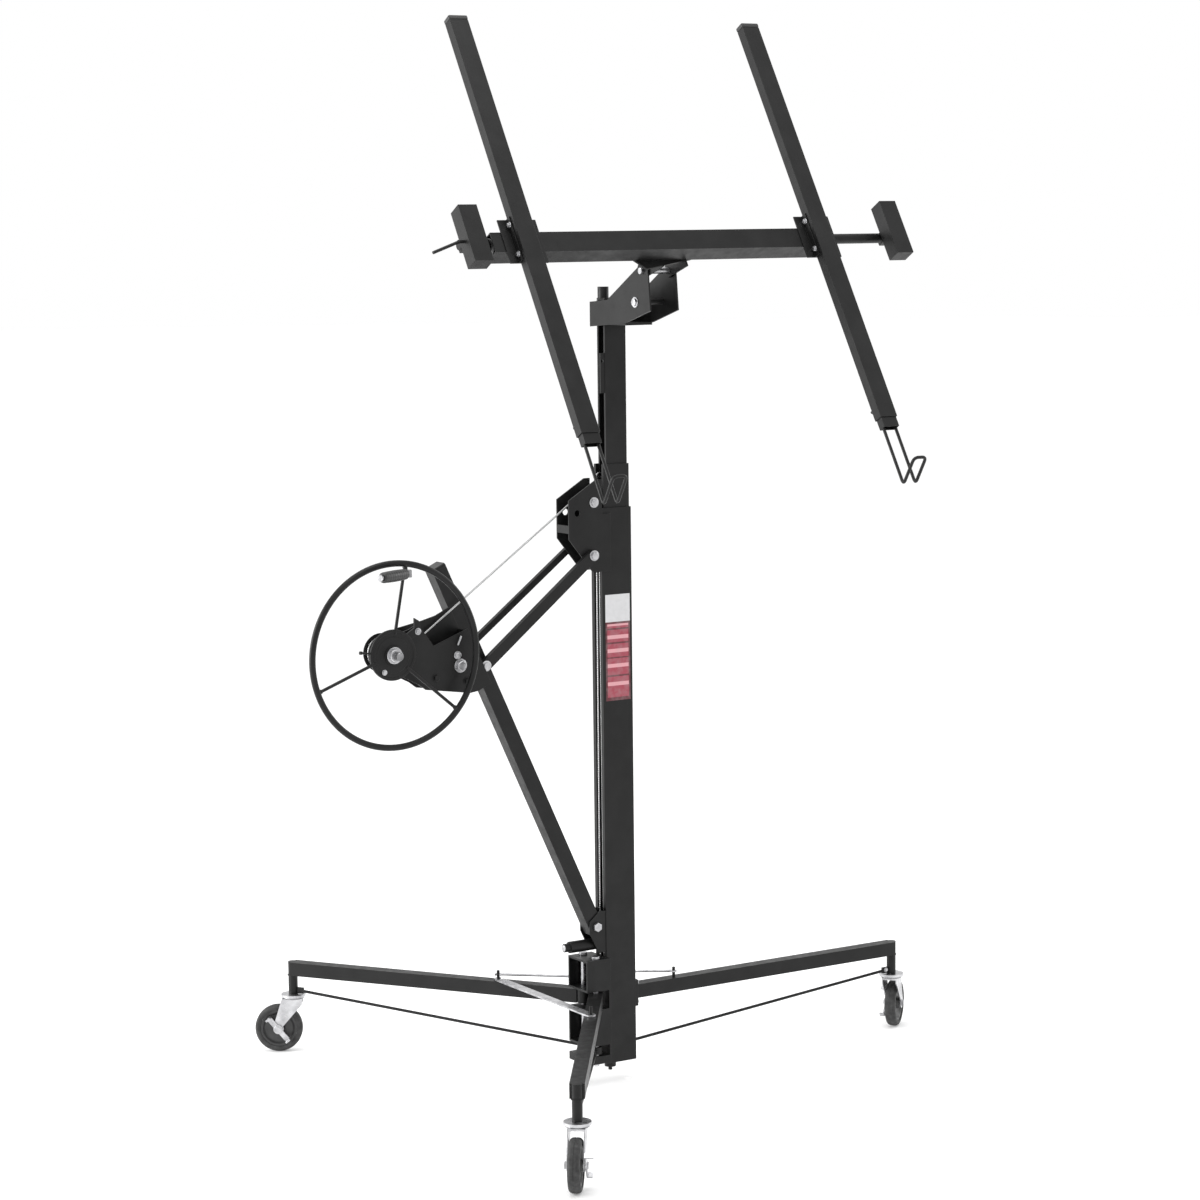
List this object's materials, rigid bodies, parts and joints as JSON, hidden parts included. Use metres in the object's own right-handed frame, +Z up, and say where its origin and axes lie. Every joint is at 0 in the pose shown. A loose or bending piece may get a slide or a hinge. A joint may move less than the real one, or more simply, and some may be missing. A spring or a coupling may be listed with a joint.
{
  "type": "drywall lift",
  "caption": "Panel hoist on a folding caster tripod: telescoping channel mast, hand winch on a leaning tube, tilting cradle with cross arms and outriggers",
  "frame": {"origin": "bottom centre of the lift's bounding box, on the floor", "axes": "+Z up, +X along the fixed leg and the cradle's crossbar, -Y the side the cradle faces when loading"},
  "size_m": [1.8928, 1.601, 2.6951],
  "materials": {
    "black_paint": "satin powder coat",
    "zinc": "bright zinc plate",
    "rubber": "matte",
    "grey_plastic": "moulded",
    "black_plastic": "moulded"
  },
  "bodies": {
    "base": {"outer_mast": "black_paint", "mast_foot": "black_paint", "hinge_post": "black_paint", "fixed_leg": "black_paint", "fixed_leg_rod": "zinc", "left_leg_pin": "zinc", "front_leg_pin": "zinc", "pulley_bracket": "black_paint", "foot_bracket": "black_paint", "foot_pin": "zinc", "winch_cable": "zinc"},
    "middle": {"middle_mast": "black_paint"},
    "inner": {"inner_mast": "black_paint", "head_yoke": "black_paint", "mast_cap": "zinc", "tilt_pin": "zinc"},
    "top_pulley": {"top_pulley": "black_plastic"},
    "upper_sheave": {"upper_sheave": "zinc"},
    "lower_sheave": {"lower_sheave": "zinc"},
    "cradle": {"crossbar": "black_paint", "tilt_plate": "black_paint", "left_arm": "black_paint", "right_arm": "black_paint", "left_arm_cap": "black_plastic", "right_arm_cap": "black_plastic"},
    "left_outrigger": {"left_outrigger": "black_paint"},
    "right_outrigger": {"right_outrigger": "black_paint"},
    "left_hook": {"left_hook": "zinc"},
    "right_hook": {"right_hook": "zinc"},
    "left_leg": {"left_leg": "black_paint", "left_leg_rod": "zinc"},
    "front_leg": {"front_leg": "black_paint", "front_leg_rod": "zinc"},
    "spreader": {"spreader_bar": "zinc"},
    "lock_rod": {"lock_rod": "zinc"},
    "winch_frame": {"winch_tube": "black_paint", "winch_bracket": "black_paint"},
    "near_brace": {"near_brace": "black_paint"},
    "far_brace": {"far_brace": "black_paint"},
    "crank": {"cable_drum": "zinc", "handwheel": "black_paint", "handwheel_nut": "zinc"},
    "crank_stem": {"crank_stem": "zinc"},
    "crank_grip": {"crank_grip": "black_plastic"},
    "pawl": {"ratchet_pawl": "black_paint"},
    "fixed_fork": {"fixed_caster_fork": "zinc", "fixed_caster_axle": "zinc"},
    "fixed_wheel": {"fixed_caster_tyre": "rubber", "fixed_caster_rim": "grey_plastic"},
    "fixed_brake": {"fixed_caster_brake": "zinc"},
    "left_fork": {"left_caster_fork": "zinc", "left_caster_axle": "zinc"},
    "left_wheel": {"left_caster_tyre": "rubber", "left_caster_rim": "grey_plastic"},
    "left_brake": {"left_caster_brake": "zinc"},
    "front_fork": {"front_caster_fork": "zinc", "front_caster_axle": "zinc"},
    "front_wheel": {"front_caster_tyre": "rubber", "front_caster_rim": "grey_plastic"},
    "front_brake": {"front_caster_brake": "zinc"}
  },
  "joints": [
    {"name": "middle_slide", "type": "slide", "parent": "base", "child": "middle", "axis": [0, 0, 1], "range_m": [-0.085, 0.75]},
    {"name": "inner_slide", "type": "slide", "parent": "middle", "child": "inner", "axis": [0, 0, 1], "range_m": [-0.175, 0.8], "deforming": ["winch_cable"]},
    {"name": "crank_turn", "type": "hinge", "parent": "winch_frame", "child": "crank", "pos_m": [-0.71661, 0.0111, 1.17388], "axis": [0, 1, 0], "range_deg": [-268.86, 1211.23]},
    {"name": "top_pulley_turn", "type": "hinge", "parent": "base", "child": "top_pulley", "pos_m": [-0.09644, 0.0051, 1.5], "axis": [0, 1, 0], "range_deg": [-1493.2, 330.54]},
    {"name": "upper_sheave_turn", "type": "hinge", "parent": "middle", "child": "upper_sheave", "pos_m": [-0.05584, 0.0181, 1.56], "axis": [0, 1, 0], "range_deg": [-4682.21, 1028.14]},
    {"name": "lower_sheave_turn", "type": "hinge", "parent": "middle", "child": "lower_sheave", "pos_m": [-0.06704, 0.0111, 0.186], "axis": [1, 0, 0], "range_deg": [-4829.91, 1060.45]},
    {"name": "cradle_tilt", "type": "hinge", "parent": "inner", "child": "cradle", "pos_m": [-0.02744, -0.2119, 2.079], "axis": [1, 0, 0], "range_deg": [-59, 6]},
    {"name": "left_outrigger_slide", "type": "slide", "parent": "cradle", "child": "left_outrigger", "axis": [-1, 0, 0], "range_m": [0, 0.33]},
    {"name": "right_outrigger_slide", "type": "slide", "parent": "cradle", "child": "right_outrigger", "axis": [1, 0, 0], "range_m": [-0.125, 0.205]},
    {"name": "left_hook_slide", "type": "slide", "parent": "cradle", "child": "left_hook", "axis": [0, -0.515, -0.8572], "range_m": [0, 0.05]},
    {"name": "right_hook_slide", "type": "slide", "parent": "cradle", "child": "right_hook", "axis": [0, -0.515, -0.8572], "range_m": [0, 0.05]},
    {"name": "front_leg_fold", "type": "hinge", "parent": "base", "child": "front_leg", "pos_m": [-0.10744, -0.0189, 0], "axis": [0, 0, 1], "range_deg": [-43, 0]},
    {"name": "left_leg_fold", "type": "hinge", "parent": "base", "child": "left_leg", "pos_m": [-0.10744, 0.0411, 0], "axis": [0, 0, 1], "range_deg": [0, 43]},
    {"name": "spreader_swing", "type": "hinge", "parent": "front_leg", "child": "spreader", "pos_m": [-0.24549, -0.21644, 0], "axis": [0, 0, 1], "range_deg": [0, 145]},
    {"name": "lock_rod_swing", "type": "hinge", "parent": "base", "child": "lock_rod", "pos_m": [0.15056, 0.0111, 0], "axis": [0, 0, 1], "range_deg": [-150.5, 0]},
    {"name": "fixed_caster_swivel", "type": "hinge", "parent": "base", "child": "fixed_fork", "pos_m": [0.86056, 0.0111, 0.15], "axis": [0, 0, 1], "continuous": true},
    {"name": "fixed_wheel_turn", "type": "hinge", "parent": "fixed_fork", "child": "fixed_wheel", "pos_m": [0.8912, 0.03681, 0.0635], "axis": [-0.6428, 0.766, 0], "continuous": true},
    {"name": "fixed_brake_press", "type": "hinge", "parent": "fixed_fork", "child": "fixed_brake", "pos_m": [0.8912, 0.03681, 0.0635], "axis": [-0.6428, 0.766, 0], "range_deg": [0, 18]},
    {"name": "left_caster_swivel", "type": "hinge", "parent": "left_leg", "child": "left_fork", "pos_m": [-0.59244, 0.7351, 0.15], "axis": [0, 0, 1], "continuous": true},
    {"name": "left_wheel_turn", "type": "hinge", "parent": "left_fork", "child": "left_wheel", "pos_m": [-0.62636, 0.75629, 0.0635], "axis": [-0.5299, -0.848, 0], "continuous": true},
    {"name": "left_brake_press", "type": "hinge", "parent": "left_fork", "child": "left_brake", "pos_m": [-0.62636, 0.75629, 0.0635], "axis": [-0.5299, -0.848, 0], "range_deg": [0, 18]},
    {"name": "front_caster_swivel", "type": "hinge", "parent": "front_leg", "child": "front_fork", "pos_m": [-0.59244, -0.7129, 0.15], "axis": [0, 0, 1], "continuous": true},
    {"name": "front_wheel_turn", "type": "hinge", "parent": "front_fork", "child": "front_wheel", "pos_m": [-0.61707, -0.74442, 0.0635], "axis": [0.788, -0.6157, 0], "continuous": true},
    {"name": "front_brake_press", "type": "hinge", "parent": "front_fork", "child": "front_brake", "pos_m": [-0.61707, -0.74442, 0.0635], "axis": [0.788, -0.6157, 0], "range_deg": [0, 18]},
    {"name": "winch_fold", "type": "hinge", "parent": "base", "child": "winch_frame", "pos_m": [-0.09844, 0.0111, 0.413], "axis": [0, 1, 0], "range_deg": [0, 18]},
    {"name": "near_brace_swing", "type": "hinge", "parent": "winch_frame", "child": "near_brace", "pos_m": [-0.4231, -0.0169, 1.11562], "axis": [0, 1, 0], "range_deg": [-76.75, 0]},
    {"name": "far_brace_swing", "type": "hinge", "parent": "winch_frame", "child": "far_brace", "pos_m": [-0.43736, 0.0391, 1.14648], "axis": [0, 1, 0], "range_deg": [-77.85, 0]},
    {"name": "pawl_lift", "type": "hinge", "parent": "winch_frame", "child": "pawl", "pos_m": [-0.63812, -0.0759, 1.22336], "axis": [0, 1, 0], "range_deg": [0, 25]},
    {"name": "grip_fold", "type": "hinge", "parent": "crank", "child": "crank_stem", "pos_m": [-0.68877, -0.1329, 1.37193], "axis": [0, 0, 1], "range_deg": [-20, 66]},
    {"name": "grip_turn", "type": "hinge", "parent": "crank_stem", "child": "crank_grip", "pos_m": [-0.68877, -0.1329, 1.37193], "axis": [-0.9135, -0.4067, 0], "continuous": true}
  ],
  "couplings": [
    {"joint": "crank_turn", "follows": "inner_slide", "rad_per_m": 26.316},
    {"joint": "top_pulley_turn", "follows": "inner_slide", "rad_per_m": -32.468},
    {"joint": "upper_sheave_turn", "follows": "inner_slide", "rad_per_m": -102.04},
    {"joint": "lower_sheave_turn", "follows": "inner_slide", "rad_per_m": -105.26},
    {"joint": "left_leg_fold", "follows": "front_leg_fold", "ratio": -1},
    {"joint": "spreader_swing", "follows": "front_leg_fold", "ratio": -3.37},
    {"joint": "lock_rod_swing", "follows": "front_leg_fold", "ratio": 3.5},
    {"joint": "near_brace_swing", "follows": "winch_fold", "ratio": -4.2358},
    {"joint": "far_brace_swing", "follows": "winch_fold", "ratio": -4.2972}
  ]
}
